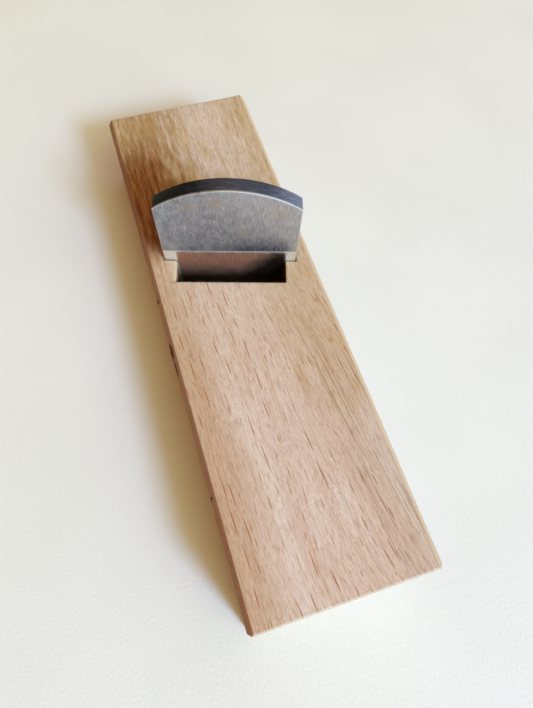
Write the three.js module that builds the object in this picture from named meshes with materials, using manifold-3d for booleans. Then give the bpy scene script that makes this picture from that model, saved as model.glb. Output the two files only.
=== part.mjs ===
// Japanese scraper plane: an oak block with a skewed throat, and one thick laminated iron that
// stands upright in it. Millimetres. +Z is up, +Y runs from the toe to the heel, +X to the right
// hand side. The origin is the centre of the block's sole.

import * as THREE from 'three';
import { mergeVertices } from 'three/addons/utils/BufferGeometryUtils.js';
import Module from 'manifold-3d';

// The oak block.
const BLOCK_WIDTH = 60;
const BLOCK_LENGTH = 205;
const BLOCK_HEIGHT = 34;
const SIDE_CHAMFER = 1.7;          // top edges along the two sides
const END_CHAMFER = 0.5;           // top edges across the toe and the heel
const CORNER_CHAMFER = 1.2;        // the four upright corners
const SOLE_CHAMFER = 0.8;          // all round the sole

// Where the iron stands. Its front face crosses the block's centre line at IRON_Y, and the whole
// throat is turned clockwise by the skew, seen from above.
const IRON_Y = 18.4;
const SKEW = THREE.MathUtils.degToRad(17.2);

// The iron. Widths and rises are taken at the block's top face.
const IRON_WIDTH = 48.2;
const IRON_SIDE_TAPER = THREE.MathUtils.degToRad(1);      // each side edge leans out to the head
const IRON_THICKNESS_TAPER = THREE.MathUtils.degToRad(1); // the back leans away from the front
const HEAD_THICKNESS = 5.7;
const HEAD_CORNER_RISE = 27.8;
const HEAD_APEX_RISE = 36.3;
const HEAD_ARC_STEPS = 40;
const EDGE_SETBACK = 0.4;          // the cutting edge rests this far inside the sole
const EDGE_WIDTH = 39.2;
const EAR_HEIGHT = 5.5;            // how high the two lower corners are ground away
const BEVEL = THREE.MathUtils.degToRad(40);

// The hard steel layer on the iron's front face, and the hollow ground into it.
const STEEL_THICKNESS = 1.4;
const STEEL_RISE = 5.5;            // above the block's top face
const HOLLOW_DEPTH = 0.5;
const HOLLOW_SLOPE = 2.5;          // width of the hollow's curved rim
const HOLLOW_MARGIN = 1.5;         // flat steel left between the hollow and the cutting edge
const HOLLOW_WIDTH = 34;
const HOLLOW_SIDE_HEIGHT = 6;
const HOLLOW_ARCH_HEIGHT = 6;
const HOLLOW_ARC_STEPS = 20;

// The throat in front of the iron.
const MOUTH_WIDTH = 40.2;
const MOUTH_SHIFT = 0.5;           // the mouth sits this far right of the iron's middle
const MOUTH_LENGTH = 9.3;          // at the top face, square to the iron
const MOUTH_CHAMFER = 0.5;         // along the mouth's front edge
const MOUTH_END_CHAMFER = 1;       // along its left edge, worn wider
const KNEE_HEIGHT = 14;            // the front wall is nearly upright above the knee
const KNEE_LENGTH = 8.6;
const LIP_HEIGHT = 3;              // and upright again below the lip
const SLIT_LENGTH = 1.2;           // between the lip and the cutting edge, at the sole

// Clearances.
const FIT_GAP = 0.3;               // cheeks to front face, bed to back, steel to soft iron
const SIDE_GAP = 0.5;              // side edges to the ends of the slot
const SLOT_DROP = 1.2;             // room under the iron's lower corners
const CUT_MARGIN = 2;              // how far cutters run past what they cut

const EDGE_Z = EDGE_SETBACK;
const EAR_Z = EDGE_Z + EAR_HEIGHT;
const APEX_Z = BLOCK_HEIGHT + HEAD_APEX_RISE;
const CORNER_Z = BLOCK_HEIGHT + HEAD_CORNER_RISE;
const STEEL_TOP_Z = BLOCK_HEIGHT + STEEL_RISE;

const X_AXIS = new THREE.Vector3(1, 0, 0);
const Y_AXIS = new THREE.Vector3(0, 1, 0);
const Z_AXIS = new THREE.Vector3(0, 0, 1);

const wasm = await Module();
wasm.setup();

// --- Solids -------------------------------------------------------------------------------------

function toSolid(geometry) {
  const bare = geometry.clone();
  bare.deleteAttribute('normal');
  bare.deleteAttribute('uv');
  const merged = mergeVertices(bare, 1e-4);
  return new wasm.Manifold(new wasm.Mesh({
    numProp: 3,
    vertProperties: new Float32Array(merged.attributes.position.array),
    triVerts: new Uint32Array(merged.index.array),
  }));
}

function toGeometry(solid) {
  const mesh = solid.getMesh();
  const geometry = new THREE.BufferGeometry();
  geometry.setAttribute('position', new THREE.BufferAttribute(mesh.vertProperties, mesh.numProp));
  geometry.setIndex(new THREE.BufferAttribute(mesh.triVerts, 1));
  geometry.computeVertexNormals();
  return geometry;
}

function extrude(outline, depth, options = {}) {
  const shape = outline instanceof THREE.Shape
    ? outline
    : new THREE.Shape(outline.map(([x, y]) => new THREE.Vector2(x, y)));
  return new THREE.ExtrudeGeometry(shape, { depth, bevelEnabled: false, ...options });
}

// An outline of (across, up) points, filling `from` to `to` along Y.
function frontPrism(outline, from, to, options) {
  const geometry = extrude(outline, to - from, options);
  return geometry.rotateX(Math.PI / 2).translate(0, to, 0);
}

// An outline of (Y, up) points, filling `from` to `to` along X.
function sidePrism(outline, from, to) {
  const turn = new THREE.Matrix4().makeBasis(Y_AXIS, Z_AXIS, X_AXIS);
  return extrude(outline, to - from).applyMatrix4(turn).translate(from, 0, 0);
}

// A rectangle with its two upper and two lower corners cut at 45 degrees, standing on zero.
function chamferedOutline(width, height, topChamfer, bottomChamfer) {
  const half = width / 2;
  return [
    [-half + bottomChamfer, 0],
    [half - bottomChamfer, 0],
    [half, bottomChamfer],
    [half, height - topChamfer],
    [half - topChamfer, height],
    [-half + topChamfer, height],
    [-half, height - topChamfer],
    [-half, bottomChamfer],
  ];
}

// --- The iron, in its own frame: X across, Y from the front face to the back, Z up ---------------

function ironHalfWidth(z) {
  return IRON_WIDTH / 2 + (z - BLOCK_HEIGHT) * Math.tan(IRON_SIDE_TAPER);
}

function ironThickness(z) {
  return HEAD_THICKNESS - (APEX_Z - z) * Math.tan(IRON_THICKNESS_TAPER);
}

function ironOutline() {
  const corner = ironHalfWidth(CORNER_Z);
  const sagitta = APEX_Z - CORNER_Z;
  const radius = (corner ** 2 + sagitta ** 2) / (2 * sagitta);
  const start = Math.acos(corner / radius);
  const shape = new THREE.Shape();
  shape.moveTo(-EDGE_WIDTH / 2, EDGE_Z);
  shape.lineTo(EDGE_WIDTH / 2, EDGE_Z);
  shape.lineTo(ironHalfWidth(EAR_Z), EAR_Z);
  shape.lineTo(corner, CORNER_Z);
  shape.absarc(0, APEX_Z - radius, radius, start, Math.PI - start, false);
  shape.lineTo(-ironHalfWidth(EAR_Z), EAR_Z);
  return shape;
}

// A prism whose front lies `frontGap` before the iron's front face, and whose back follows the
// iron's tapered back at `backGap` behind it.
function wedge(outline, frontGap, backGap, options) {
  const geometry = frontPrism(outline, 0, 1, options);
  const position = geometry.attributes.position;
  for (let i = 0; i < position.count; i += 1) {
    const back = ironThickness(position.getZ(i)) + backGap;
    position.setY(i, position.getY(i) > 0.5 ? back : -frontGap);
  }
  return geometry;
}

// Everything below the ground bevel, which runs from the cutting edge up to the back.
function bevelCutter() {
  const reach = HEAD_THICKNESS + CUT_MARGIN;
  const rise = 1 / Math.tan(BEVEL);
  const floor = EDGE_Z - 2 * CUT_MARGIN;
  return sidePrism([
    [-CUT_MARGIN, floor],
    [reach, floor],
    [reach, EDGE_Z + reach * rise],
    [-CUT_MARGIN, EDGE_Z - CUT_MARGIN * rise],
  ], -IRON_WIDTH, IRON_WIDTH);
}

// The front of the iron up to a height, as deep as the hard steel layer.
function laminationBlock(depth, top) {
  return frontPrism([
    [-IRON_WIDTH, -CUT_MARGIN],
    [IRON_WIDTH, -CUT_MARGIN],
    [IRON_WIDTH, top],
    [-IRON_WIDTH, top],
  ], -CUT_MARGIN, depth);
}

// The shallow arched hollow ground into the steel, so that only its rim needs to be kept flat.
function hollowCutter() {
  const half = HOLLOW_WIDTH / 2 - HOLLOW_SLOPE;
  const bottom = EDGE_Z + HOLLOW_MARGIN + HOLLOW_SLOPE;
  const spring = bottom + HOLLOW_SIDE_HEIGHT;
  const shape = new THREE.Shape();
  shape.moveTo(-half, bottom);
  shape.lineTo(half, bottom);
  shape.lineTo(half, spring);
  shape.absellipse(0, spring, half, HOLLOW_ARCH_HEIGHT, 0, Math.PI, false);
  return frontPrism(shape, -CUT_MARGIN, 0, {
    bevelEnabled: true,
    bevelThickness: HOLLOW_DEPTH,
    bevelSize: HOLLOW_SLOPE,
    bevelSegments: 3,
    curveSegments: HOLLOW_ARC_STEPS,
  });
}

function makeWholeIron() {
  const blank = toSolid(wedge(ironOutline(), 0, 0, { curveSegments: HEAD_ARC_STEPS }));
  return blank.subtract(toSolid(bevelCutter()));
}

function makeSteelLayer(wholeIron) {
  const layer = wholeIron.intersect(toSolid(laminationBlock(STEEL_THICKNESS, STEEL_TOP_Z)));
  return layer.subtract(toSolid(hollowCutter()));
}

function makeSoftIron(wholeIron) {
  const seat = laminationBlock(STEEL_THICKNESS + FIT_GAP, STEEL_TOP_Z + FIT_GAP);
  return wholeIron.subtract(toSolid(seat));
}

// --- The block ----------------------------------------------------------------------------------

function makeBlank() {
  const section = chamferedOutline(BLOCK_WIDTH, BLOCK_HEIGHT, SIDE_CHAMFER, SOLE_CHAMFER);
  const profile = chamferedOutline(BLOCK_LENGTH, BLOCK_HEIGHT, END_CHAMFER, SOLE_CHAMFER);
  const plan = chamferedOutline(BLOCK_WIDTH, BLOCK_LENGTH, CORNER_CHAMFER, CORNER_CHAMFER);
  const alongY = toSolid(frontPrism(section, -BLOCK_LENGTH / 2, BLOCK_LENGTH / 2));
  const alongX = toSolid(sidePrism(profile, -BLOCK_WIDTH / 2, BLOCK_WIDTH / 2));
  const alongZ = toSolid(extrude(plan, BLOCK_HEIGHT).translate(0, -BLOCK_LENGTH / 2, 0));
  return alongY.intersect(alongX).intersect(alongZ);
}

// The slot that the iron slides in. It is wider than the mouth, so each end is a groove behind a
// cheek, and each groove ends above the sole, under the iron's ground-off corner.
function slotCutter() {
  const top = BLOCK_HEIGHT + CUT_MARGIN;
  const edge = EDGE_WIDTH / 2;
  const low = ironHalfWidth(EAR_Z) + SIDE_GAP;
  const high = ironHalfWidth(top) + SIDE_GAP;
  return wedge([
    [-edge, EDGE_Z - SLOT_DROP],
    [edge, EDGE_Z - SLOT_DROP],
    [low, EAR_Z - SLOT_DROP],
    [high, top],
    [-high, top],
    [-low, EAR_Z - SLOT_DROP],
  ], FIT_GAP, FIT_GAP);
}

// The throat in front of the iron: open at the top, closing to a slit at the sole.
function throatCutter() {
  const top = BLOCK_HEIGHT + CUT_MARGIN;
  return sidePrism([
    [0, top],
    [-MOUTH_LENGTH - MOUTH_CHAMFER - CUT_MARGIN, top],
    [-MOUTH_LENGTH, BLOCK_HEIGHT - MOUTH_CHAMFER],
    [-KNEE_LENGTH, KNEE_HEIGHT],
    [-SLIT_LENGTH, LIP_HEIGHT],
    [-SLIT_LENGTH, -CUT_MARGIN],
    [0, -CUT_MARGIN],
  ], MOUTH_SHIFT - MOUTH_WIDTH / 2, MOUTH_SHIFT + MOUTH_WIDTH / 2);
}

// The chamfer along the mouth's left edge.
function mouthEndCutter() {
  const top = BLOCK_HEIGHT + CUT_MARGIN;
  const end = MOUTH_SHIFT - MOUTH_WIDTH / 2;
  return frontPrism([
    [end + CUT_MARGIN, top],
    [end - MOUTH_END_CHAMFER - CUT_MARGIN, top],
    [end, BLOCK_HEIGHT - MOUTH_END_CHAMFER],
    [end + CUT_MARGIN, BLOCK_HEIGHT - MOUTH_END_CHAMFER],
  ], -MOUTH_LENGTH, 0);
}

function intoBlockFrame(geometry) {
  return geometry.rotateZ(-SKEW).translate(0, IRON_Y, 0);
}

function makeBlock() {
  return makeBlank()
    .subtract(toSolid(intoBlockFrame(throatCutter())))
    .subtract(toSolid(intoBlockFrame(mouthEndCutter())))
    .subtract(toSolid(intoBlockFrame(slotCutter())));
}

// --- Assembly -----------------------------------------------------------------------------------

const oak = new THREE.MeshStandardMaterial({ color: 0xcdb198, roughness: 0.62, metalness: 0 });
const softIron = new THREE.MeshStandardMaterial({ color: 0x8b8d94, roughness: 0.42, metalness: 0.9 });
const hardSteel = new THREE.MeshStandardMaterial({ color: 0xb4b3b2, roughness: 0.16, metalness: 1 });

function namedMesh(name, solid, material) {
  const mesh = new THREE.Mesh(toGeometry(solid), material);
  mesh.name = name;
  return mesh;
}

const wholeIron = makeWholeIron();

const iron = new THREE.Group();
iron.position.y = IRON_Y;
iron.rotation.z = -SKEW;
iron.add(namedMesh('blade_soft_iron', makeSoftIron(wholeIron), softIron));
iron.add(namedMesh('blade_hard_steel', makeSteelLayer(wholeIron), hardSteel));

const plane = new THREE.Group();
plane.add(namedMesh('plane_block', makeBlock(), oak));
plane.add(iron);

export default plane;
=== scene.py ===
"""The looks of a wooden scraper plane: an oak block, and a laminated iron standing in its throat.

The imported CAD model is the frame. Each of its three nodes is refined into a piece with rounded, worn
edges and a procedural material. Lengths are millimetres times MM, because the frame is in metres.
"""

import math
import random

import bmesh
import bpy
import numpy as np
from mathutils import Matrix, Vector, noise


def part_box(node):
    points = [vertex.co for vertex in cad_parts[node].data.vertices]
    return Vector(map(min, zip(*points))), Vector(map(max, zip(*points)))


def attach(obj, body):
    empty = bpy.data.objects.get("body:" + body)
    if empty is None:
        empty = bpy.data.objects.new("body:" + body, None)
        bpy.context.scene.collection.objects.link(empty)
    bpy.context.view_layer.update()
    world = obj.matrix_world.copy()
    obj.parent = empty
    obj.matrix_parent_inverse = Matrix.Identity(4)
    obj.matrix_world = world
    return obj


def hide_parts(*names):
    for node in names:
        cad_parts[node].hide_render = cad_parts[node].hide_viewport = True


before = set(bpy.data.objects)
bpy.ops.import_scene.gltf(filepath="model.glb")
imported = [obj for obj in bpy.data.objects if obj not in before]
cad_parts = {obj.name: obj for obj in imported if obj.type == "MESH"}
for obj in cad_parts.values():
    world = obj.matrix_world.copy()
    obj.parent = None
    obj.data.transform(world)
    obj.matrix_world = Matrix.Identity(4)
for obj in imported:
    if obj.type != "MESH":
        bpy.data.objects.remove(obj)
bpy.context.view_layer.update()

MM = 0.001
WELD_DISTANCE = 0.01 * MM
FLAT_ANGLE = math.radians(0.5)
SHARP_ANGLE = math.radians(25)
SMOOTH_ANGLE = math.radians(40)
CUT_TOLERANCE = 1e-7
ROUNDING_SEGMENTS = 3

# The camera, and the window-like key light that comes from the toe end, a little to the right.
CAMERA_PLACE = Vector((-27.472, -95.474, 198.977)) * MM
CAMERA_TURN = [math.radians(degrees) for degrees in (25.44, -1.665, -17.786)]
CAMERA_LENS = 27.25
CAMERA_NEAR = 10 * MM
KEY_DIRECTION = Vector((0.297, -0.739, 0.605)).normalized()
KEY_DISTANCE = 1900 * MM
KEY_SIZE = 410 * MM
KEY_POWER = 32.6
KEY_COLOUR = (0.38, 0.565, 1.0)

# The room's own dim light, and its glows: direction, narrowness and colour.
ROOM_COLOUR = (0.27, 0.105, 0.03)
GLOWS = [
    (KEY_DIRECTION, 12, (3.9, 5.2, 3.0)),
    ((0.85, 0.42, 0.32), 3, (0.25, 0.38, 0.58)),
    ((0, 0, 1), 6, (0.40, 0.17, 0.04)),
]

# The block's edges: how far they are rounded, and how unevenly they are worn.
BLOCK_ROUNDING = 0.22 * MM
THROAT_ROUNDING = 0.3               # share of BLOCK_ROUNDING on the throat's crisp edges
BLOCK_WEAR_DEPTH = 0.12 * MM
BLOCK_WEAR_REACH = 2.5 * MM
BLOCK_WEAR_WAVE = 9 * MM
DING_COUNT = 46
DING_SEED = 11
DINGS_ON_ENDS = 0.3                 # share of the dings that are on the toe's and the heel's edges
DING_RADIUS = (0.9, 2.4)            # from and to, millimetres
DING_DEPTH = (0.06, 0.22)           # from and to, millimetres
DING_SQUASH = (1, 0.6, 1)           # lengths along the grain count less, so dings are longer that way

# Torn nicks along the block's left top edge: distance from the toe, length along the grain and
# size across.
LEFT_NICKS = [(39.5, 1.0, 0.6), (84.5, 7.0, 0.5), (91.2, 6.0, 1.0), (111.8, 1.6, 0.8)]
NICK_INSET = 0.55 * MM              # from the block's left side to a nick's middle
NICK_DROP = 1.5 * MM                # from its top face to a nick's middle
NICK_RAGGEDNESS = 0.07              # millimetres either way
NICK_SEED = 5

# How finely the flat faces are cut up, so that wear can move them.
BLOCK_STEP = 2.4 * MM
GRAIN_STEP = 1.1 * MM               # along the block
FINE_STEP = 0.45 * MM               # in a band along the block's edges
FINE_BAND = 2.7 * MM
IRON_STEP = 1.2 * MM
OUTSIDE_REACH = 3 * MM              # an edge this near to the block's outline is an outer one

# The oak. The grain leans as it runs along the block, more towards the right side. The tree's heart
# is a line along the block, at this x and z. Lengths in the materials are plain millimetres.
OAK_LEAN_LEFT = math.tan(math.radians(2.0))
OAK_LEAN_RIGHT = math.tan(math.radians(7.0))
OAK_LEAN_END = 12.0                 # the grain leans up to this y
OAK_LEAN_FADE = 20.0                # and straightens this softly
OAK_HEART = (10.0, -85.0)
OAK_SIDE, OAK_END, OAK_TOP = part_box("plane_block")[1] / MM
OAK_RELIEF = 0.06
OAK_BROWN = (0.300, 0.125, 0.050)

# The rays' dark ends in three sizes: seed, spacing of the columns, length of a cell, half width,
# part of the share, and strength. Then the pale flecks, up to their share.
OAK_RAYS = [
    (3.0, 3.6, 11.0, 0.16, 1.0, 1.0),
    (4.0, 2.6, 5.0, 0.13, 0.8, 0.7),
    (5.0, 1.4, 3.4, 0.09, 1.0, 0.35),
]
OAK_FLECKS = (40.0, 1.3, 3.6, 0.13, 0.45)

# Stains on the top face, as x, y, radius and strength, and scratches, as their two ends.
OAK_STAINS = [
    (24.7, -6.9, 1.0, 0.7),
    (23.8, -23.5, 1.1, 0.7),
    (-20.4, 15.2, 0.9, 0.9),
    (20.0, -14.0, 1.3, 0.4),
]
OAK_SCRATCHES = [
    ((-4.9, -74.6), (2.4, -72.4)),
    ((-13.4, -76.8), (-9.6, -75.6)),
    ((-2.0, -84.9), (1.7, -83.4)),
]

# Faint rust on the iron's face: how far across and up, radius and strength.
IRON_RUST = [
    (-13.0, 63.0, 3.0, 0.5),
    (-4.0, 65.0, 3.5, 0.5),
    (17.0, 60.0, 3.0, 0.4),
    (4.5, 50.0, 3.5, 0.35),
]
IRON_GREY = (0.41, 0.43, 0.48)
IRON_RELIEF = 0.05
STEEL_RELIEF = 0.006
PAPER_RELIEF = 0.12

# The iron's edges, its hammered surfaces, and the part of its face that the throat shows.
IRON_ROUNDING = 0.16 * MM
WELD_ROUNDING = 0.25                # share of IRON_ROUNDING along the weld line
WELD_GAP = 0.02 * MM
FORGED_DEPTH = 0.06 * MM
FORGED_WAVE = 5 * MM
THROAT_SIDES = (-19.7, 20.7)        # millimetres across the iron, where the throat is open

FLOOR_HALF_SIZE = 3000 * MM


# --- Meshes -------------------------------------------------------------------------------------


def cleaned_copy(node):
    """The CAD node as an editable mesh of whole flat faces."""
    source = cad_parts[node].data
    shape = bmesh.new()
    corners = [shape.verts.new(vertex.co) for vertex in source.vertices]
    for polygon in source.polygons:
        shape.faces.new([corners[index] for index in polygon.vertices])
    bmesh.ops.remove_doubles(shape, verts=shape.verts, dist=WELD_DISTANCE)
    bmesh.ops.dissolve_limit(shape, angle_limit=FLAT_ANGLE, verts=shape.verts, edges=shape.edges)
    bmesh.ops.recalc_face_normals(shape, faces=shape.faces)
    return shape


def sharp_edges(shape):
    """The two ends of every edge where the surface turns sharply."""
    sharp = [edge for edge in shape.edges if edge.calc_face_angle(0) > SHARP_ANGLE]
    return [[vertex.co.copy() for vertex in edge.verts] for edge in sharp]


def as_piece(shape, name):
    mesh = bpy.data.meshes.new(name)
    shape.to_mesh(mesh)
    shape.free()
    piece = bpy.data.objects.new(name, mesh)
    bpy.context.scene.collection.objects.link(piece)
    return piece


def apply_modifiers(piece):
    """Makes what the modifiers show the piece's own mesh."""
    depsgraph = bpy.context.evaluated_depsgraph_get()
    mesh = bpy.data.meshes.new_from_object(piece.evaluated_get(depsgraph), depsgraph=depsgraph)
    piece.modifiers.clear()
    piece.data = mesh


def round_edges(piece, width):
    """Rounds each edge by its own weight's share of a width."""
    bevel = piece.modifiers.new("rounding", "BEVEL")
    bevel.width = width
    bevel.segments = ROUNDING_SEGMENTS
    bevel.limit_method = "WEIGHT"
    bevel.use_clamp_overlap = False
    apply_modifiers(piece)


def spaced(low, high, step, fine_step=None, fine_band=0.0):
    """Places between low and high: every step, and closer together in a band at each end."""
    places = list(np.arange(low + fine_band, high - fine_band + step / 2, step))
    if fine_step:
        places += list(np.arange(low + fine_step, low + fine_band, fine_step))
        places += list(np.arange(high - fine_step, high - fine_band, -fine_step))
    return sorted(places)


def slice_across(shape, direction, origin, places):
    """Cuts every face where it crosses each place along a direction."""
    for place in places:
        everything = shape.verts[:] + shape.edges[:] + shape.faces[:]
        point = origin + direction * place
        bmesh.ops.bisect_plane(
            shape, geom=everything, plane_co=point, plane_no=direction, dist=CUT_TOLERANCE
        )


def distance_to_edges(points, edges):
    """Each point's distance to the nearest edge."""
    nearest = np.full(len(points), np.inf)
    for first, last in edges:
        start = np.array(first)
        along = np.array(last) - start
        share = np.clip((points - start) @ along / (along @ along), 0, 1)
        gaps = np.linalg.norm(points - start - share[:, None] * along, axis=1)
        nearest = np.minimum(nearest, gaps)
    return nearest


def mesh_points(mesh):
    values = np.empty(len(mesh.vertices) * 3)
    mesh.vertices.foreach_get("co", values)
    return values.reshape(-1, 3)


def store_edge_distance(piece, edges):
    """Keeps each vertex's distance to the nearest edge, in millimetres, for the materials' wear and the
    iron's painted edge highlight.
    """
    gaps = distance_to_edges(mesh_points(piece.data), edges) / MM
    attribute = piece.data.attributes.new("edge_mm", "FLOAT", "POINT")
    attribute.data.foreach_set("value", gaps.astype(np.float32))


def press_in(mesh, depths):
    """Moves each vertex into the solid by its own depth."""
    normals = np.empty(len(mesh.vertices) * 3)
    mesh.vertices.foreach_get("normal", normals)
    moved = mesh_points(mesh) - normals.reshape(-1, 3) * np.maximum(depths, 0)[:, None]
    mesh.vertices.foreach_set("co", moved.ravel())
    mesh.update()


def uneven(points, wave, seed):
    """Smooth noise from 0 to 1 at each point."""
    shift = Vector((seed * 7.3, seed * 3.1, seed * 5.7))
    return np.array([0.5 + 0.5 * noise.noise(Vector(point) / wave + shift) for point in points])


def smooth(piece):
    piece.data.shade_smooth()
    piece.data.set_sharp_from_angle(angle=SMOOTH_ANGLE)


# --- The oak block ------------------------------------------------------------------------------


def wear_depths(points, edges, low, high):
    """How deep the block's edges are worn: a wavy loss along each edge, and small scattered dings."""
    gaps = distance_to_edges(points, edges)
    near = np.clip(1 - gaps / BLOCK_WEAR_REACH, 0, 1)
    depths = BLOCK_WEAR_DEPTH * near * uneven(points, BLOCK_WEAR_WAVE, seed=1)
    dice = random.Random(DING_SEED)
    for _ in range(DING_COUNT):
        side = dice.choice((low.x, high.x))
        centre = np.array((side, dice.uniform(low.y, high.y), dice.choice((low.z, high.z, high.z))))
        if dice.random() < DINGS_ON_ENDS:
            centre[:2] = (dice.uniform(low.x, high.x), dice.choice((low.y, high.y)))
        radius = dice.uniform(*DING_RADIUS) * MM
        depth = dice.uniform(*DING_DEPTH) * MM
        gap = np.linalg.norm((points - centre) * DING_SQUASH, axis=1)
        depths = np.maximum(depths, depth * np.clip(1 - (gap / radius) ** 2, 0, 1) ** 2)
    return depths


def nick_shapes(low, high):
    """The centre and the half sizes of each nick in the left top edge."""
    for along, length, size in LEFT_NICKS:
        centre = Vector((low.x + NICK_INSET, low.y + along * MM, high.z - NICK_DROP))
        yield centre, Vector((size * 0.5 * MM, length * 0.5 * MM, size * 0.8 * MM))


def nick_cutter(low, high):
    """Long splinter shapes lying across the left top edge, joined into one object."""
    dice = random.Random(NICK_SEED)
    shape = bmesh.new()
    for centre, sizes in nick_shapes(low, high):
        matrix = Matrix.Translation(centre) @ Matrix.Diagonal((*sizes, 1))
        made = bmesh.ops.create_icosphere(shape, subdivisions=2, radius=1, matrix=matrix)
        for vertex in made["verts"]:
            vertex.co += Vector([dice.uniform(-NICK_RAGGEDNESS, NICK_RAGGEDNESS) * MM for _ in range(3)])
    return as_piece(shape, "nick_cutter")


def store_nicks(piece, low, high):
    """Marks the inside of the nicks, which the oak paints dark as shade in these hollows, and fades out
    just past them.
    """
    end, fade = 1.35, 0.15
    points = mesh_points(piece.data)
    inside = np.zeros(len(points))
    for centre, sizes in nick_shapes(low, high):
        reach = np.linalg.norm((points - np.array(centre)) / np.array(sizes), axis=1)
        inside = np.maximum(inside, np.clip((end - reach) / fade, 0, 1))
    attribute = piece.data.attributes.new("nick", "FLOAT", "POINT")
    attribute.data.foreach_set("value", inside.astype(np.float32))


def cut_nicks(piece, low, high):
    cutter = nick_cutter(low, high)
    cut = piece.modifiers.new("nicks", "BOOLEAN")
    cut.operation = "DIFFERENCE"
    cut.solver = "EXACT"
    cut.object = cutter
    apply_modifiers(piece)
    bpy.data.objects.remove(cutter)


def on_outside(points, low, high):
    """Whether all the points are near one of the block's four outer sides."""
    gaps = [min(p.x - low.x, high.x - p.x, p.y - low.y, high.y - p.y) for p in points]
    return all(gap < OUTSIDE_REACH for gap in gaps)


def weigh_block_edges(shape, low, high):
    """Full rounding on the outer edges, and little on the crisp edges of the throat."""
    weight = shape.edges.layers.float.new("bevel_weight_edge")
    for edge in shape.edges:
        if edge.calc_face_angle(0) > SHARP_ANGLE:
            outer = on_outside([vertex.co for vertex in edge.verts], low, high)
            edge[weight] = 1.0 if outer else THROAT_ROUNDING


def make_block():
    low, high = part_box("plane_block")
    shape = cleaned_copy("plane_block")
    edges = sharp_edges(shape)
    weigh_block_edges(shape, low, high)
    piece = as_piece(shape, "oak_block")
    round_edges(piece, BLOCK_ROUNDING)
    cut_nicks(piece, low, high)

    dense = bmesh.new()
    dense.from_mesh(piece.data)
    origin = Vector((0, 0, 0))
    across = spaced(low.x, high.x, BLOCK_STEP, FINE_STEP, FINE_BAND)
    upward = spaced(low.z, high.z, BLOCK_STEP, FINE_STEP, FINE_BAND)
    along = spaced(low.y, high.y, GRAIN_STEP, FINE_STEP, FINE_BAND)
    for direction, places in (((1, 0, 0), across), ((0, 0, 1), upward), ((0, 1, 0), along)):
        slice_across(dense, Vector(direction), origin, places)
    dense.to_mesh(piece.data)
    dense.free()

    store_edge_distance(piece, edges)
    store_nicks(piece, low, high)
    outer = [edge for edge in edges if on_outside(edge, low, high)]
    press_in(piece.data, wear_depths(mesh_points(piece.data), outer, low, high))
    smooth(piece)
    piece.data.materials.append(oak())
    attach(piece, "block")
    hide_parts("plane_block")


# --- The iron -----------------------------------------------------------------------------------


class IronFrame:
    """Where the iron stands: across it, through it from front to back, and up."""

    def __init__(self):
        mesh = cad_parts["blade_hard_steel"].data
        backmost = max(mesh.polygons, key=lambda face: face.normal.y * face.area)
        self.through = Vector((backmost.normal.x, backmost.normal.y, 0)).normalized()
        self.across = Vector((self.through.y, -self.through.x, 0))
        self.up = Vector((0, 0, 1))
        points = [vertex.co for vertex in mesh.vertices]
        front = min(point.dot(self.through) for point in points)
        sides = [point.dot(self.across) for point in points]
        self.origin = self.through * front + self.across * (min(sides) + max(sides)) / 2
        self.steel_top = max(point.z for point in points)
        self.steel_depth = max(point.dot(self.through) for point in points) - front
        self.edge_height = min(point.z for point in points)

    def depth(self, point):
        return (point - self.origin).dot(self.through)


def close_weld(shape, iron):
    """Draws the soft iron's seat up to the steel that is welded into it."""
    fit = 0.5 * MM
    for vertex in shape.verts:
        depth = iron.depth(vertex.co)
        above = vertex.co.z - iron.steel_top
        if depth < iron.steel_depth + fit and -fit < above < fit:
            vertex.co.z = iron.steel_top + WELD_GAP
        if above < fit and iron.steel_depth < depth < iron.steel_depth + fit:
            vertex.co += iron.through * (iron.steel_depth + WELD_GAP - depth)


def weigh_iron_edges(shape, iron):
    """Full rounding on the outer edges, little along the weld, and none on the cutting edge."""
    weight = shape.edges.layers.float.new("bevel_weight_edge")
    near = 0.1 * MM
    for edge in shape.edges:
        if edge.calc_face_angle(0) < SHARP_ANGLE:
            continue
        points = [vertex.co for vertex in edge.verts]
        on_edge = all(abs(point.z - iron.edge_height) < near for point in points)
        on_top = all(abs(point.z - iron.steel_top) < near for point in points)
        on_seat = all(
            abs(iron.depth(point) - iron.steel_depth) < near and point.z < iron.steel_top + near
            for point in points
        )
        edge[weight] = 0.0 if on_edge else WELD_ROUNDING if on_top or on_seat else 1.0


def slice_iron(piece, iron, step):
    dense = bmesh.new()
    dense.from_mesh(piece.data)
    sides = [(vertex.co - iron.origin).dot(iron.across) for vertex in dense.verts]
    heights = [vertex.co.z for vertex in dense.verts]
    slice_across(dense, iron.across, iron.origin, spaced(min(sides), max(sides), step))
    slice_across(dense, iron.up, iron.origin, spaced(min(heights), max(heights), step))
    dense.to_mesh(piece.data)
    dense.free()


def forged_unevenness(piece, iron):
    """The hammered head end and back are not quite flat."""
    points = mesh_points(piece.data)
    depths = np.array([iron.depth(Vector(point)) for point in points])
    behind = np.clip(depths / MM - 0.5, 0, 1)
    press_in(piece.data, FORGED_DEPTH * behind * uneven(points, FORGED_WAVE, seed=3))


def make_soft_iron(iron):
    shape = cleaned_copy("blade_soft_iron")
    close_weld(shape, iron)
    edges = sharp_edges(shape)
    weigh_iron_edges(shape, iron)
    piece = as_piece(shape, "soft_iron_back")
    round_edges(piece, IRON_ROUNDING)
    slice_iron(piece, iron, IRON_STEP)
    store_edge_distance(piece, edges)
    forged_unevenness(piece, iron)
    smooth(piece)
    piece.data.materials.append(soft_iron(iron))
    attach(piece, "blade")
    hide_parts("blade_soft_iron")


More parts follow.
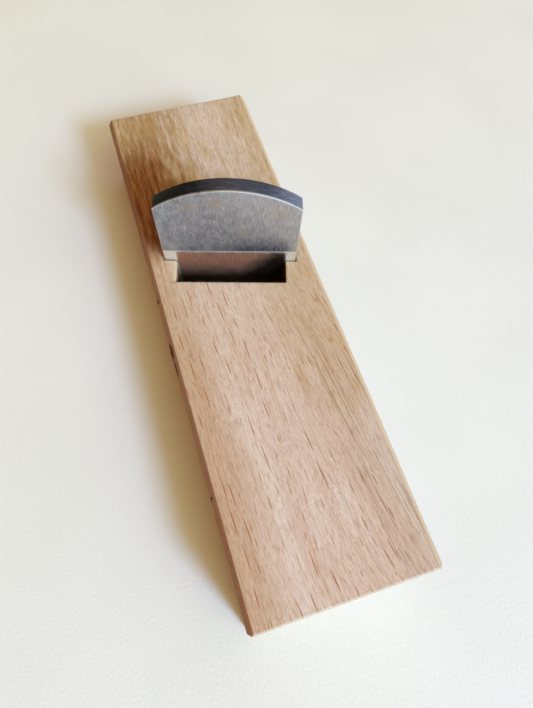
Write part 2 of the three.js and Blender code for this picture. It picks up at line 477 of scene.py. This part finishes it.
def make_hard_steel(iron):
    shape = cleaned_copy("blade_hard_steel")
    edges = sharp_edges(shape)
    weigh_iron_edges(shape, iron)
    piece = as_piece(shape, "hard_steel_face")
    round_edges(piece, IRON_ROUNDING)
    slice_iron(piece, iron, IRON_STEP)
    store_edge_distance(piece, edges)
    smooth(piece)
    piece.data.materials.append(hard_steel(iron))
    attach(piece, "blade")
    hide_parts("blade_hard_steel")


# --- Materials ----------------------------------------------------------------------------------


class Shader:
    """Adds shader nodes to one node tree, with a short call for each kind that is used here."""

    def __init__(self, tree):
        self.tree = tree

    def feed(self, socket, value):
        if isinstance(value, bpy.types.NodeSocket):
            self.tree.links.new(value, socket)
        elif socket.type == "RGBA":
            socket.default_value = (*value, 1)
        else:
            socket.default_value = value

    def node(self, kind, inputs, **settings):
        made = self.tree.nodes.new(kind)
        for name, value in settings.items():
            setattr(made, name, value)
        for key, value in inputs.items():
            self.feed(made.inputs[key], value)
        return made

    def place(self):
        """The point's place in the frame while its body is at rest, in millimetres."""
        return self.vector("SCALE", self.node("ShaderNodeTexCoord", {}).outputs["Object"], 1 / MM)

    def vector(self, operation, first, second, third=(0, 0, 0)):
        made = self.tree.nodes.new("ShaderNodeVectorMath")
        made.operation = operation
        self.feed(made.inputs[0], first)
        self.feed(made.inputs["Scale" if operation == "SCALE" else 1], second)
        self.feed(made.inputs[2], third)
        return made.outputs["Value" if operation in ("DOT_PRODUCT", "DISTANCE") else "Vector"]

    def split(self, vector):
        return self.node("ShaderNodeSeparateXYZ", {0: vector}).outputs[:]

    def join(self, x, y, z):
        return self.node("ShaderNodeCombineXYZ", {0: x, 1: y, 2: z}).outputs[0]

    def calc(self, operation, first, second=0.0, third=0.0):
        made = self.node("ShaderNodeMath", {0: first, 1: second, 2: third}, operation=operation)
        return made.outputs[0]

    def times(self, first, second):
        return self.calc("MULTIPLY", first, second)

    def shifted(self, value, amount, reach):
        """The value plus an amount times a reach."""
        return self.calc("MULTIPLY_ADD", amount, reach, value)

    def ease(self, value, start, end, low=0.0, high=1.0):
        """Goes smoothly from low to high as the value goes from start to end."""
        inputs = {0: value, 1: start, 2: end, 3: low, 4: high}
        return self.node("ShaderNodeMapRange", inputs, interpolation_type="SMOOTHSTEP").outputs[0]

    def noise(self, vector, size, detail=2.0, roughness=0.5):
        """Noise from 0 to 1 whose features have the given size along each axis, in millimetres."""
        scaled = self.vector("DIVIDE", vector, size)
        inputs = {"Vector": scaled, "Scale": 1.0, "Detail": detail, "Roughness": roughness}
        return self.node("ShaderNodeTexNoise", inputs).outputs[0]

    def dice(self, vector):
        """Three random numbers from 0 to 1 for each value."""
        return self.split(self.node("ShaderNodeTexWhiteNoise", {"Vector": vector}).outputs["Color"])

    def mix(self, factor, first, second, mode="MIX"):
        """Blends two colours. The node's colour sockets are its inputs 6 and 7 and its output 2."""
        inputs = {0: factor, 6: first, 7: second}
        made = self.node("ShaderNodeMix", inputs, data_type="RGBA", blend_type=mode)
        return made.outputs[2]

    def attribute(self, name):
        return self.node("ShaderNodeAttribute", {}, attribute_name=name).outputs["Fac"]

    def bump(self, height, depth):
        """Relief in which a height of 1 stands for depth millimetres."""
        inputs = {"Strength": 1.0, "Distance": depth * MM, "Height": height}
        return self.node("ShaderNodeBump", inputs).outputs[0]


def new_material(name):
    material = bpy.data.materials.new(name)
    material.use_nodes = True
    return material, Shader(material.node_tree), material.node_tree.nodes["Principled BSDF"]


# --- The oak's material -------------------------------------------------------------------------


def dashes(s, across, along, seed, spacing, length, half_width, share):
    """Slim tapered marks in columns along the grain, each with its own place, size and tone.

    Every cell of a column can hold one mark, and the share says how many do. 0 to 1.
    """
    shortest, longest = 0.16, 0.46      # half a mark's length, as a share of its cell
    margin = 0.15                       # how near a mark's middle may come to its column's side
    softness = 0.05
    most_shift = 9.0                    # how many cells a column can be shifted along
    column = s.calc("FLOOR", s.calc("DIVIDE", across, spacing))
    start = s.times(s.dice(s.join(column, seed, 0.0))[0], most_shift)
    step = s.calc("ADD", s.calc("DIVIDE", along, length), start)
    cell = s.calc("FLOOR", step)
    sideways, size, tone = s.dice(s.join(column, cell, seed))

    middle = s.calc("MULTIPLY_ADD", sideways, 1 - 2 * margin, s.calc("ADD", column, margin))
    gap = s.calc("ABSOLUTE", s.shifted(across, middle, -spacing))
    from_middle = s.calc("SUBTRACT", s.calc("SUBTRACT", step, cell), 0.5)
    reach = s.calc("DIVIDE", from_middle, s.ease(size, 0.0, 1.0, shortest, longest))
    squared = s.calc("POWER", s.calc("ABSOLUTE", reach), 2.0)
    taper = s.calc("MAXIMUM", s.calc("SUBTRACT", 1.0, squared), 0.0)

    mark = s.ease(s.calc("SUBTRACT", gap, s.times(taper, half_width)), softness, -softness)
    mark = s.times(mark, s.ease(taper, 0.0, 0.15))
    return s.times(mark, s.ease(tone, share, s.times(share, 0.3)))


class OakGrain:
    """Where a point lies in the tree, and the noises that the oak's colour and relief share."""

    def __init__(self, s):
        place = s.place()
        self.x, self.y, self.z = s.split(place)
        lean = s.ease(self.x, -6.0, 22.0, OAK_LEAN_LEFT, OAK_LEAN_RIGHT)
        wander = s.noise(place, (60, 75, 60), detail=1)
        lean_y = s.calc("SMOOTH_MIN", self.y, OAK_LEAN_END, OAK_LEAN_FADE)
        self.across = s.shifted(s.shifted(self.x, lean_y, lean), wander, 7.0)
        grain = s.join(self.across, self.y, self.z)

        # Rings are distances from the tree's heart, which lies below the sole; rays point to it.
        heart_x, heart_z = OAK_HEART
        from_heart_x = s.calc("SUBTRACT", self.across, heart_x)
        from_heart_z = s.calc("SUBTRACT", self.z, heart_z)
        turn = s.calc("ARCTAN2", from_heart_x, from_heart_z)
        self.round_heart = s.times(turn, OAK_TOP - heart_z)
        squares = s.shifted(s.calc("POWER", from_heart_z, 2.0), from_heart_x, from_heart_x)
        out = s.shifted(s.calc("SQRT", squares), wander, 5.0)
        self.rings = s.noise(s.join(out, self.y, 0.0), (1.3, 150, 1), detail=2, roughness=0.6)

        self.broad = s.noise(grain, (7, 60, 9), detail=2)
        self.blotches = s.noise(grain, (3.2, 11, 3.2), detail=3, roughness=0.6)
        self.mottle = s.noise(grain, (1.9, 14, 1.9), detail=3, roughness=0.6)
        self.yellow = s.noise(grain, (5, 13, 5), detail=3, roughness=0.55)
        self.streaks = s.noise(grain, (0.9, 24, 0.9), detail=3, roughness=0.6)
        self.lines = s.noise(grain, (0.55, 60, 2.0), detail=3, roughness=0.6)
        self.fibres = s.noise(grain, (0.33, 4.5, 0.33), detail=3, roughness=0.65)
        self.specks = s.noise(grain, (0.32, 1.3, 0.32), detail=2, roughness=0.6)
        self.blotch = s.calc("SUBTRACT", self.blotches, 0.5)


def oak_ground(s, wood):
    """The wood's colour in front of the heel, apart from its fine marks: pinkish, with zones."""
    pink, pale_pink, warm_pink = (0.690, 0.507, 0.420), (0.745, 0.600, 0.530), (0.640, 0.450, 0.325)
    tan, sand = (0.570, 0.370, 0.235), (0.615, 0.435, 0.298)
    grey, gold = (0.540, 0.440, 0.385), (0.590, 0.385, 0.185)

    colour = s.mix(s.ease(wood.broad, 0.35, 0.65), pink, pale_pink)
    near_throat = s.ease(wood.y, -45.0, -10.0, 0.0, 0.4)
    colour = s.mix(near_throat, colour, warm_pink)
    left = s.ease(s.shifted(wood.x, wood.blotch, 9.0), -10.0, -28.0, 0.0, 0.8)
    colour = s.mix(left, colour, tan)

    right = s.ease(s.shifted(wood.across, wood.blotch, 22.0), 8.0, 17.0)
    toe = s.ease(wood.y, -25.0, -70.0)
    colour = s.mix(s.times(right, s.ease(toe, 0.0, 1.0, 0.85, 0.3)), colour, sand)
    dusky = s.times(s.times(right, toe), s.ease(wood.lines, 0.35, 0.65, 0.1, 0.45))
    colour = s.mix(dusky, colour, grey)
    golden = s.times(s.ease(wood.x, 2.0, 16.0), s.ease(wood.yellow, 0.50, 0.66, 0.0, 0.6))
    return s.mix(s.times(golden, s.ease(toe, 0.8, 0.0)), colour, gold)


def oak_heel(s, wood, colour):
    """The heel has yellowed, more at its sides; its left, under the iron's shadow, is painted brown as
    shade, partly oil.
    """
    left_side, middle, right_side = (0.455, 0.300, 0.135), (0.690, 0.550, 0.450), (0.580, 0.415, 0.235)
    straw, pale, rusty = (0.610, 0.450, 0.220), (0.80, 0.670, 0.580), (0.490, 0.280, 0.115)
    dark_brown, light_brown = (0.185, 0.062, 0.018), (0.370, 0.160, 0.052)

    x = s.shifted(wood.x, wood.blotch, 30.0)
    aged = s.mix(s.ease(x, -14.0, 8.0), left_side, middle)
    aged = s.mix(s.ease(x, 12.0, 28.0, 0.0, 0.75), aged, right_side)
    aged = s.mix(s.ease(wood.yellow, 0.5, 0.66, 0.0, 0.55), aged, straw)
    aged = s.mix(s.ease(wood.mottle, 0.5, 0.68, 0.0, 0.5), aged, pale)
    aged = s.mix(s.ease(wood.mottle, 0.46, 0.32, 0.0, 0.45), aged, rusty)
    colour = s.mix(s.ease(s.shifted(wood.y, wood.blotch, 30.0), 22.0, 55.0), colour, aged)

    # Painted shade: a deep brown on the heel's left deepens the iron's cast shadow there, partly oil from
    # the hand.
    shade_and_oil_brown = s.times(s.ease(x, -4.0, -19.0), s.ease(wood.y, 96.0, 68.0))
    shade_and_oil_brown = s.times(shade_and_oil_brown, s.ease(s.shifted(wood.y, wood.streaks, 12.0), 27.0, 42.0))
    brown = s.mix(s.ease(wood.mottle, 0.38, 0.62), dark_brown, light_brown)
    return s.mix(shade_and_oil_brown, colour, brown)


def oak_lines(s, wood, colour):
    """The fine marks along the grain: rings, streaks, grey lines, fibres and pale flecks."""
    ring_tint, streak_tint, grey_tint = (0.86, 0.76, 0.66), (0.84, 0.71, 0.56), (0.74, 0.66, 0.58)
    fibre_tint, fleck_tint = (0.72, 0.60, 0.50), (1.22, 1.22, 1.24)
    colour = s.mix(s.ease(wood.rings, 0.48, 0.72, 0.0, 0.35), colour, ring_tint, "MULTIPLY")
    colour = s.mix(s.ease(wood.streaks, 0.48, 0.72, 0.0, 0.6), colour, streak_tint, "MULTIPLY")
    grey_lines = s.times(s.ease(wood.lines, 0.54, 0.66), s.ease(wood.across, 0.0, 14.0, 0.2, 0.9))
    grey_lines = s.times(grey_lines, s.ease(wood.y, 40.0, 15.0, 0.1, 1.0))
    colour = s.mix(grey_lines, colour, grey_tint, "MULTIPLY")
    colour = s.mix(s.ease(wood.fibres, 0.46, 0.72, 0.0, 0.9), colour, fibre_tint, "MULTIPLY")

    flecks = dashes(s, wood.round_heart, wood.y, *OAK_FLECKS)
    flecks = s.calc("MAXIMUM", s.times(flecks, 0.8), s.ease(wood.specks, 0.54, 0.74))
    return s.mix(flecks, colour, fleck_tint, "MULTIPLY")


def oak_rays(s, wood):
    """The dark ends of the oak's rays on its tangential faces, more of them on the left. 0 to 1."""
    share = s.ease(wood.across, -2.0, 16.0, 0.8, 0.42)
    dark = 0.0
    for seed, spacing, length, half_width, part, strength in OAK_RAYS:
        mark = dashes(s, wood.round_heart, wood.y, seed, spacing, length, half_width, s.times(share, part))
        dark = s.calc("MAXIMUM", dark, s.times(mark, strength))
    at_heel = s.ease(wood.x, -4.0, 8.0, 0.9, 0.45)
    dark = s.times(dark, s.ease(wood.y, 15.0, 40.0, 0.95, at_heel))
    return s.times(dark, s.ease(wood.z, OAK_TOP - 4.0, OAK_TOP - 1.0, 0.4, 1.0))


def oak_marks(s, wood, colour):
    """Stains and pale scratches on the top face."""
    stain, scratched = (0.43, 0.23, 0.07), (0.84, 0.73, 0.64)
    spot = s.join(wood.x, wood.y, 0.0)
    for x, y, radius, strength in OAK_STAINS:
        gap = s.vector("DISTANCE", spot, (x, y, 0))
        gap = s.shifted(gap, wood.blotches, 1.6)
        colour = s.mix(s.ease(gap, radius + 1.4, 0.8, 0.0, strength), colour, stain)
    for start, end in OAK_SCRATCHES:
        along = Vector((*end, 0)) - Vector((*start, 0))
        offset = s.vector("SUBTRACT", spot, (*start, 0))
        share = s.calc("DIVIDE", s.vector("DOT_PRODUCT", offset, along), along.length_squared)
        share = s.calc("MINIMUM", s.calc("MAXIMUM", share, 0.0), 1.0)
        gap = s.vector("DISTANCE", offset, s.vector("SCALE", along, share))
        colour = s.mix(s.ease(gap, 0.22, 0.04, 0.0, 0.4), colour, scratched)
    return colour


def oak_sides(s, wood, colour):
    """Paler chamfers on the right, partly a painted highlight on the lit side, and paler ends; brown
    sides; left-facing faces painted dark brown as shade; throat walls painted near black as shade.
    """
    right_chamfer_pale_and_lit, end_chamfer, deep = (0.67, 0.49, 0.33), (0.56, 0.48, 0.42), (0.05, 0.028, 0.018)
    facing_right, facing_heel, upward = s.split(s.node("ShaderNodeNewGeometry", {}).outputs["Normal"])
    slanted = s.times(s.ease(upward, 0.93, 0.85), s.ease(upward, 0.3, 0.5))
    # Right-facing chamfers get a paler tone, partly a painted highlight on the side the light falls on.
    right_chamfer_highlight = s.times(slanted, s.ease(facing_right, 0.2, 0.6, 0.0, 0.8))
    colour = s.mix(right_chamfer_highlight, colour, right_chamfer_pale_and_lit)
    endwise = s.times(slanted, s.ease(s.calc("ABSOLUTE", facing_heel), 0.3, 0.6, 0.0, 0.7))
    colour = s.mix(endwise, colour, end_chamfer)
    side = s.ease(upward, 0.3, 0.1)
    colour = s.mix(s.times(side, 0.45), colour, OAK_BROWN)
    # Painted shade: faces turned to the left, away from the light, are painted dark brown.
    colour = s.mix(s.ease(facing_right, -0.3, -0.6, 0.0, 0.8), colour, OAK_BROWN)

    # Only the throat has walls that are well inside the block's outline and above its sole.
    inside = s.ease(s.calc("ABSOLUTE", wood.x), OAK_SIDE - 2.5, OAK_SIDE - 4.0)
    inside = s.times(inside, s.ease(s.calc("ABSOLUTE", wood.y), OAK_END - 2.5, OAK_END - 6.5))
    inside = s.times(inside, s.ease(wood.z, 0.2, 1.0))
    # Painted shade: the throat walls turn near black below the top, where shade falls in the recess.
    return s.mix(s.times(inside, s.ease(wood.z, OAK_TOP - 1.0, OAK_TOP - 8.0)), colour, deep)


def oak():
    """Flat-sawn oak: the rays that cut the top face show as slim brown dashes."""
    left_ray, right_ray = (0.430, 0.150, 0.030), (0.390, 0.220, 0.110)
    handled, nick_shade = (0.46, 0.29, 0.17), (0.21, 0.085, 0.04)
    material, s, surface = new_material("oak")
    wood = OakGrain(s)
    colour = oak_heel(s, wood, oak_ground(s, wood))
    colour = oak_lines(s, wood, colour)
    dark = oak_rays(s, wood)
    ray_colour = s.mix(s.ease(wood.across, -6.0, 14.0), left_ray, right_ray)
    colour = s.mix(dark, colour, ray_colour, "DARKEN")
    colour = oak_marks(s, wood, colour)
    colour = oak_sides(s, wood, colour)
    rubbed = s.times(s.ease(s.attribute("edge_mm"), 1.0, 0.2), s.ease(wood.streaks, 0.3, 0.7))
    colour = s.mix(s.times(rubbed, 0.35), colour, handled)
    # Painted shade: the inside of each nick is painted dark.
    colour = s.mix(s.attribute("nick"), colour, nick_shade)
    s.feed(surface.inputs["Base Color"], colour)

    roughness = s.calc("MULTIPLY_ADD", wood.fibres, 0.16, 0.52)
    roughness = s.calc("SUBTRACT", roughness, s.times(rubbed, 0.18))
    s.feed(surface.inputs["Roughness"], roughness)
    surface.inputs["Specular IOR Level"].default_value = 0.3

    # Open fibres and rays lie low, and the streaks between them stand a little proud.
    height = s.shifted(s.times(dark, -0.8), wood.fibres, -0.5)
    height = s.shifted(height, wood.streaks, 0.4)
    s.feed(surface.inputs["Normal"], s.bump(height, OAK_RELIEF))
    return material


# --- The iron's materials -----------------------------------------------------------------------


def iron_place(s, iron):
    """The point's place in the iron's own frame, in millimetres: across, through and up."""
    origin = iron.origin / MM
    offset = s.vector("SUBTRACT", s.place(), origin)
    return [s.vector("DOT_PRODUCT", offset, axis) for axis in (iron.across, iron.through, iron.up)]


class IronNoises:
    """The noises that the soft iron's colour and relief share."""

    def __init__(self, s, place):
        self.mottle = s.noise(place, (3.2, 3.2, 4.2), detail=4, roughness=0.65)
        self.brushing = s.noise(place, (0.34, 0.34, 3.6), detail=3, roughness=0.65)
        self.grit = s.noise(place, (0.34, 0.34, 0.6), detail=2, roughness=0.7)
        self.strokes = s.noise(place, (4.5, 0.5, 2.5), detail=3, roughness=0.6)


def ground_face(s, iron, across, up, noises):
    """The iron's ground front face: brushed upright, paler to the upper right, faintly rusty."""
    dull, light, shine = (0.25, 0.265, 0.34), (0.80, 0.81, 0.82), (0.82, 0.86, 0.92)
    rust, blue_black = (0.46, 0.37, 0.32), (0.12, 0.12, 0.20)
    colour = s.mix(s.ease(noises.mottle, 0.3, 0.7), dull, IRON_GREY)
    upper_right = s.ease(s.shifted(across, up, 0.9), 42.0, 74.0)
    colour = s.mix(s.times(upper_right, 0.36), colour, shine)
    colour = s.mix(s.ease(noises.brushing, 0.53, 0.70, 0.0, 0.7), colour, light)
    colour = s.mix(s.ease(noises.brushing, 0.46, 0.34, 0.0, 0.7), colour, dull)
    colour = s.mix(s.ease(noises.grit, 0.57, 0.70, 0.0, 0.6), colour, light)
    for rust_across, rust_up, radius, strength in IRON_RUST:
        gap = s.vector("DISTANCE", s.join(across, 0.0, up), (rust_across, 0, rust_up))
        gap = s.shifted(gap, noises.mottle, 4.0)
        colour = s.mix(s.ease(gap, radius + 3.5, 2.0, 0.0, strength), colour, rust)

    weld = iron.steel_top / MM
    near_weld = s.ease(up, weld + 10.0, weld)
    right = s.times(s.ease(across, -6.0, 8.0), s.ease(across, 23.0, 19.0))
    blue = s.times(s.times(near_weld, right), s.ease(noises.brushing, 0.62, 0.42, 0.3, 1.0))
    return s.mix(s.times(blue, 0.95), colour, blue_black)


def forged_skin(s, across, up, noises):
    """The dark skin of the back, the sides and the head end, with a painted reflection that makes the
    head end brighter to the right.
    """
    skin, head_skin = (0.085, 0.090, 0.098), (0.016, 0.032, 0.042)
    reflected_skin, reflected_stroke = (0.28, 0.32, 0.42), (0.36, 0.42, 0.58)
    # Painted reflection: the head end is painted brighter and bluer to the right, and a little in the
    # middle, with bluish strokes, standing for the room seen in it.
    patchy = s.shifted(across, s.calc("SUBTRACT", noises.mottle, 0.5), 14.0)
    worn = s.calc("ADD", s.ease(patchy, -14.0, 0.0, 0.0, 0.3), s.ease(patchy, 12.0, 25.0, 0.0, 0.7))
    head = s.ease(up, 46.0, 60.0)
    worn = s.times(worn, head)
    colour = s.mix(head, skin, head_skin)
    colour = s.mix(worn, colour, reflected_skin)
    colour = s.mix(s.times(worn, s.ease(noises.strokes, 0.5, 0.66)), colour, reflected_stroke)
    return s.mix(s.ease(noises.grit, 0.6, 0.8, 0.0, 0.25), colour, IRON_GREY)


def soft_iron(iron):
    """Brushed grey on the ground front face, and dark forged skin on the head end, sides and back."""
    burnish_highlight = (0.62, 0.63, 0.66)
    material, s, surface = new_material("soft_iron")
    across, through, up = iron_place(s, iron)
    noises = IronNoises(s, s.join(across, through, up))
    front = s.ease(s.shifted(through, noises.grit, 0.12), 0.42, 0.25)
    colour = s.mix(front, forged_skin(s, across, up, noises), ground_face(s, iron, across, up, noises))

    # Edges that hands and the hammer burnish bright, painted brighter still as a highlight along them.
    bright = s.times(s.ease(s.attribute("edge_mm"), 0.30, 0.10), s.ease(through, 1.0, 0.2))
    bright = s.times(bright, s.ease(noises.mottle, 0.25, 0.5, 0.4, 1.0))
    s.feed(surface.inputs["Base Color"], s.mix(bright, colour, burnish_highlight))

    surface.inputs["Metallic"].default_value = 0.85
    roughness = s.calc("MULTIPLY_ADD", noises.mottle, 0.25, 0.38)
    s.feed(surface.inputs["Roughness"], s.shifted(roughness, bright, 0.1))
    height = s.shifted(s.times(noises.mottle, 0.8), noises.brushing, 0.35)
    height = s.shifted(height, noises.grit, 0.3)
    s.feed(surface.inputs["Normal"], s.bump(height, IRON_RELIEF))
    return material


def steel_shade_and_reflection(s, iron, across, up, smudge):
    """How far the steel is darkened, and how far a brown covers it. Each 0 to 1.

    The steel stays bright at its sides, over the cheeks, and the sharpening stone keeps it bright
    towards the edge. Between them it is darkened, partly oxide and partly painted shade, and its
    upper part, more on the left, takes a brown that is a painted reflection of the throat's wood, partly
    oxide.
    """
    left, right = THROAT_SIDES
    top = iron.steel_top / MM
    patchy = s.shifted(up, smudge, 1.5)
    from_left = s.ease(across, left - 0.2, left + 1.0)
    from_right = s.ease(across, right + 0.2, right - 1.2)
    tarnish_and_shade = s.times(s.times(from_left, from_right), s.ease(patchy, top - 0.2, top - 1.4))
    blotchy = s.shifted(up, smudge, 9.0)
    tarnish_and_shade = s.times(tarnish_and_shade, s.ease(blotchy, top - 25.0, top - 15.0))

    # The brown recedes down and to the right, where the painted light gives way to painted shade.
    depth = s.calc("SUBTRACT", patchy, s.ease(across, 2.0, 20.0, 0.0, 14.0))
    depth = s.shifted(depth, smudge, 4.0)
    return tarnish_and_shade, s.times(tarnish_and_shade, s.ease(depth, top - 19.0, top - 5.0))


def hard_steel(iron):
    """The steel layer: a soft polish with fine upright scratches; between its sides, painted shade
    and a brown painted reflection of the throat's wood, partly oxide.
    """
    polished, bright, scratch = (0.80, 0.82, 0.87), (0.89, 0.91, 0.96), (0.97, 0.97, 0.98)
    shaded_tarnish, dark_brown, light_brown = (0.27, 0.170, 0.127), (0.290, 0.115, 0.074), (0.41, 0.195, 0.140)
    material, s, surface = new_material("hard_steel")
    across, through, up = iron_place(s, iron)
    place = s.join(across, through, up)
    scratches = s.noise(place, (0.35, 0.35, 5), detail=3, roughness=0.65)
    smudges = s.noise(place, (5, 5, 3.5), detail=3)
    tarnish_and_shade, patina_and_reflection = steel_shade_and_reflection(s, iron, across, up, s.calc("SUBTRACT", smudges, 0.5))

    colour = s.mix(s.ease(smudges, 0.35, 0.7), polished, bright)
    colour = s.mix(s.ease(scratches, 0.55, 0.72, 0.0, 0.5), colour, scratch)
    # Painted shade and painted reflection: between the throat's sides the steel is darkened, and its upper
    # part browned like the throat's wood seen in it; partly oxide.
    colour = s.mix(tarnish_and_shade, colour, shaded_tarnish)
    brown = s.mix(s.ease(scratches, 0.4, 0.65), dark_brown, light_brown)
    s.feed(surface.inputs["Base Color"], s.mix(patina_and_reflection, colour, brown))

    metallic = s.shifted(s.ease(tarnish_and_shade, 0.0, 1.0, 0.8, 0.96), patina_and_reflection, -0.7)
    s.feed(surface.inputs["Metallic"], metallic)
    roughness = s.shifted(s.ease(tarnish_and_shade, 0.0, 1.0, 0.24, 0.14), smudges, 0.16)
    s.feed(surface.inputs["Roughness"], s.shifted(roughness, patina_and_reflection, 0.35))
    s.feed(surface.inputs["Normal"], s.bump(scratches, STEEL_RELIEF))
    return material


def paper():
    """The pale, faintly toothed surface that the plane stands on."""
    shade, light = (0.83, 0.82, 0.80), (0.86, 0.85, 0.835)
    material, s, surface = new_material("paper")
    place = s.place()
    tooth = s.noise(place, (1.1, 1.1, 1.1), detail=3)
    patches = s.noise(place, (60, 60, 60), detail=2)
    colour = s.mix(s.ease(patches, 0.3, 0.7), shade, light)
    s.feed(surface.inputs["Base Color"], colour)
    surface.inputs["Roughness"].default_value = 0.9
    surface.inputs["Specular IOR Level"].default_value = 0.2
    s.feed(surface.inputs["Normal"], s.bump(tooth, PAPER_RELIEF))
    return material


# --- The set ------------------------------------------------------------------------------------


def make_floor():
    half = FLOOR_HALF_SIZE
    mesh = bpy.data.meshes.new("floor")
    corners = [(-half, -half, 0), (half, -half, 0), (half, half, 0), (-half, half, 0)]
    mesh.from_pydata(corners, [], [(0, 1, 2, 3)])
    mesh.materials.append(paper())
    floor = bpy.data.objects.new("floor", mesh)
    bpy.context.scene.collection.objects.link(floor)


def make_key_light():
    lamp = bpy.data.lights.new("key", "AREA")
    lamp.shape = "DISK"
    lamp.size = KEY_SIZE
    lamp.energy = KEY_POWER
    lamp.color = KEY_COLOUR
    key = bpy.data.objects.new("key", lamp)
    key.location = KEY_DIRECTION * KEY_DISTANCE
    key.rotation_mode = "QUATERNION"
    key.rotation_quaternion = KEY_DIRECTION.to_track_quat("Z", "Y")
    bpy.context.scene.collection.objects.link(key)


def make_room():
    """A dim warm room, with a wide glow round the window, a cool one on the right and a warm one above."""
    world = bpy.data.worlds.new("room")
    bpy.context.scene.world = world
    world.use_nodes = True
    s = Shader(world.node_tree)
    towards = s.node("ShaderNodeTexCoord", {}).outputs["Generated"]
    light = ROOM_COLOUR
    for direction, narrowness, colour in GLOWS:
        share = s.vector("DOT_PRODUCT", towards, Vector(direction).normalized())
        share = s.calc("POWER", s.calc("MAXIMUM", share, 0.0), narrowness)
        light = s.vector("MULTIPLY_ADD", s.join(share, share, share), colour, light)
    s.feed(world.node_tree.nodes["Background"].inputs["Color"], light)


def make_camera():
    lens = bpy.data.cameras.new("camera")
    lens.lens = CAMERA_LENS
    lens.clip_start = CAMERA_NEAR
    camera = bpy.data.objects.new("camera", lens)
    camera.location = CAMERA_PLACE
    camera.rotation_euler = CAMERA_TURN
    bpy.context.scene.collection.objects.link(camera)
    bpy.context.scene.camera = camera


make_camera()
make_floor()
make_key_light()
make_room()
bpy.context.scene.view_settings.view_transform = "Standard"

make_block()
iron_frame = IronFrame()
make_soft_iron(iron_frame)
make_hard_steel(iron_frame)
